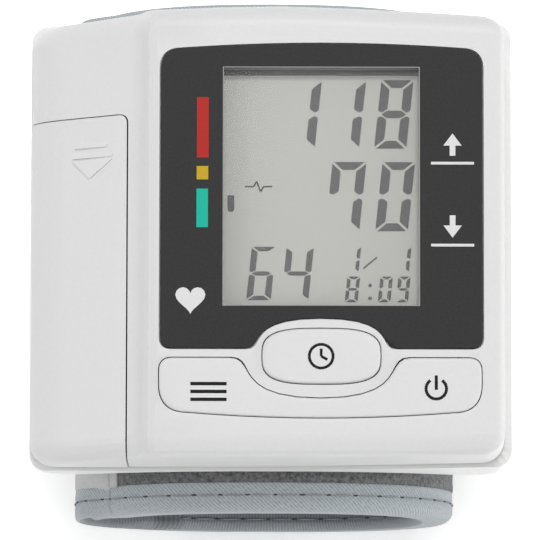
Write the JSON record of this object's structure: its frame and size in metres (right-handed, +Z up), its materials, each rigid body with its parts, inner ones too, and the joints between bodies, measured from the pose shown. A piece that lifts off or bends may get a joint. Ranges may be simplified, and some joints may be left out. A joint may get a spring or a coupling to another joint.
{
  "type": "wrist_blood_pressure_monitor",
  "caption": "Wrist blood pressure monitor with display, oval and U-shaped keys, sliding battery cover, air pump and a closed fabric cuff that opens at its strap",
  "frame": {"origin": "middle of the flat on which the closed cuff rests, below the middle of the case", "axes": "+Z up through the display face, +X to the right of the display, +Y to the top of the display"},
  "size_m": [0.072, 0.077, 0.0767],
  "materials": {
    "shell": "satin light grey moulded plastic",
    "panel": "matte dark grey printed plastic",
    "lens": "clear plastic",
    "display": "grey liquid crystal glass",
    "inner_plastic": "white moulded plastic",
    "grey_rubber": "grey silicone rubber",
    "board": "green solder mask on glass laminate",
    "black_plastic": "black moulded plastic",
    "steel": "plated steel",
    "hose": "translucent white silicone hose",
    "cell": "plain wrapped battery cell",
    "fleece": "dark grey looped fleece",
    "bladder": "thin air bladder",
    "lining": "smooth blue-grey nylon",
    "binding": "light blue-grey twill tape",
    "strap": "smooth light grey coated fabric",
    "hook": "grey hook tape"
  },
  "bodies": {
    "case": {"front_housing": "shell", "rear_housing": "shell", "display_panel": "panel", "window_lens": "lens", "lcd_glass": "display", "lcd_holder": "inner_plastic", "lcd_connector": "grey_rubber", "setup_dome": "grey_rubber", "memory_dome": "grey_rubber", "power_dome": "grey_rubber", "circuit_board": "board", "board_screw_1": "steel", "board_screw_2": "steel", "board_screw_3": "steel", "controller_chip": "black_plastic", "pressure_sensor": "black_plastic", "pump_motor": "steel", "pump_head": "black_plastic", "valve_body": "steel", "air_manifold": "inner_plastic", "valve_hose": "hose", "pump_hose": "hose", "sensor_hose": "hose", "cuff_nozzle": "inner_plastic", "case_screw_1": "steel", "case_screw_2": "steel", "case_screw_3": "steel", "case_screw_4": "steel", "outer_cell": "cell", "inner_cell": "cell", "bridge_contact": "steel", "positive_terminal": "steel", "negative_terminal": "steel", "outer_cell_spring": "steel", "inner_cell_spring": "steel", "cuff_fleece": "fleece", "cuff_stiffener": "inner_plastic", "cuff_bladder": "bladder", "cuff_lining": "lining", "lower_binding": "binding", "upper_binding": "binding"},
    "cover": {"battery_cover": "shell"},
    "setup_key": {"setup_button": "shell"},
    "rocker": {"memory_power_key": "shell"},
    "strap": {"closing_strap": "strap", "strap_lower_binding": "binding", "strap_upper_binding": "binding", "hook_patch": "hook"},
    "crank": {"pump_crank": "steel"},
    "plunger": {"valve_plunger": "steel"}
  },
  "joints": [
    {"name": "cover_slide", "type": "slide", "parent": "case", "child": "cover", "axis": [0, -1, 0], "range_m": [0, 0.056]},
    {"name": "setup_press", "type": "slide", "parent": "case", "child": "setup_key", "axis": [0, 0, -1], "range_m": [0, 0.0008], "stiffness_N_per_m": 1000, "deforming": ["setup_dome"]},
    {"name": "rocker_tilt", "type": "hinge", "parent": "case", "child": "rocker", "pos_m": [0.00737, -0.0247, 0.0727], "axis": [0, 1, 0], "range_deg": [-2, 2], "stiffness_Nm_per_rad": 0.6, "deforming": ["memory_dome", "power_dome"]},
    {"name": "strap_fold", "type": "hinge", "parent": "case", "child": "strap", "pos_m": [-0.0221, 0, 0.0074], "axis": [0, -1, 0], "range_deg": [0, 75]},
    {"name": "crank_turn", "type": "hinge", "parent": "case", "child": "crank", "pos_m": [0.0225, -0.0035, 0.06003], "axis": [0, 1, 0], "continuous": true},
    {"name": "plunger_stroke", "type": "slide", "parent": "case", "child": "plunger", "axis": [0, 1, 0], "range_m": [0, 0.001], "stiffness_N_per_m": 100}
  ]
}
